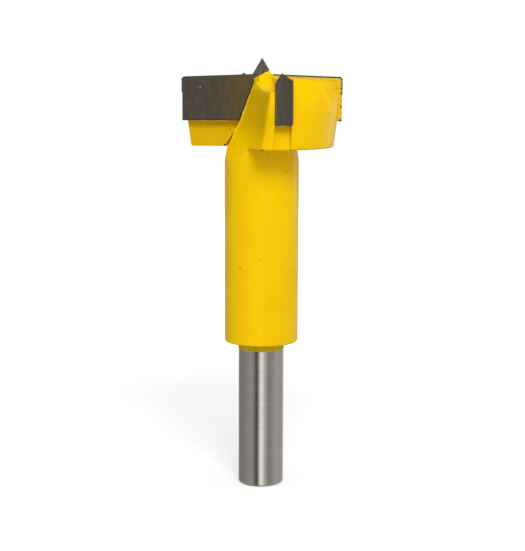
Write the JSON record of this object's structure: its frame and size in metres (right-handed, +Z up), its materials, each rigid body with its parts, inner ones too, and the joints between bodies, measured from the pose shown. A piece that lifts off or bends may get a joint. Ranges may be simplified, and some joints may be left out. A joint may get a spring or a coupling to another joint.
{
  "type": "forstner bit",
  "caption": "Carbide-tipped hinge-boring bit: round shank, painted stem, wide two-winged head with rim spurs and a centre point.",
  "frame": {"origin": "centre of the shank's flat end, on the axis of the bit", "axes": "+Z up the axis from the shank to the centre point; the two cutting edges lie along X, and the left edge's rake face looks to -Y"},
  "size_m": [0.035, 0.0344, 0.0948],
  "materials": {
    "body": "glossy yellow paint over turned and milled steel, bare satin steel on the shank",
    "carbide": "ground, dull, with a brown brazing tint"
  },
  "bodies": {
    "root": {"body": "body", "cutter_left": "carbide", "cutter_right": "carbide", "spur_front": "carbide", "spur_back": "carbide", "centre_point": "carbide"}
  },
  "joints": []
}
